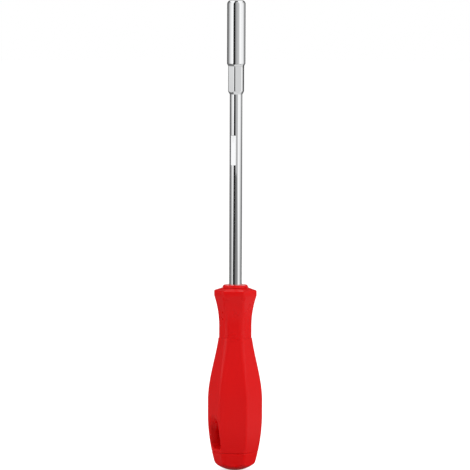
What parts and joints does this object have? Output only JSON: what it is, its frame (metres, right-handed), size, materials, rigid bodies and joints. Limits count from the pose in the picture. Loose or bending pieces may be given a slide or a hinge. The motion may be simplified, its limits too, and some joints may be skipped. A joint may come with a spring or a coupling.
{
  "type": "nut driver",
  "caption": "Long-shaft nut driver with a hollow chromed hexagon socket, a spanner bolster, and a swelling hexagonal grip with a hanging hole and a domed end.",
  "frame": {"origin": "the end of the handle's dome, on the tool's axis", "axes": "+Z along the tool's axis, from the handle to the socket's mouth; the hanging hole runs along X"},
  "size_m": [0.0308, 0.0348, 0.3],
  "materials": {
    "chrome": "polished chrome plate on steel",
    "smooth_red": "smooth moulded red plastic",
    "grained_red": "finely grained moulded red grip"
  },
  "bodies": {
    "root": {"socket": "chrome", "shaft": "chrome", "handle_core": "smooth_red", "grip_sleeve": "grained_red", "end_cap": "smooth_red"}
  },
  "joints": []
}
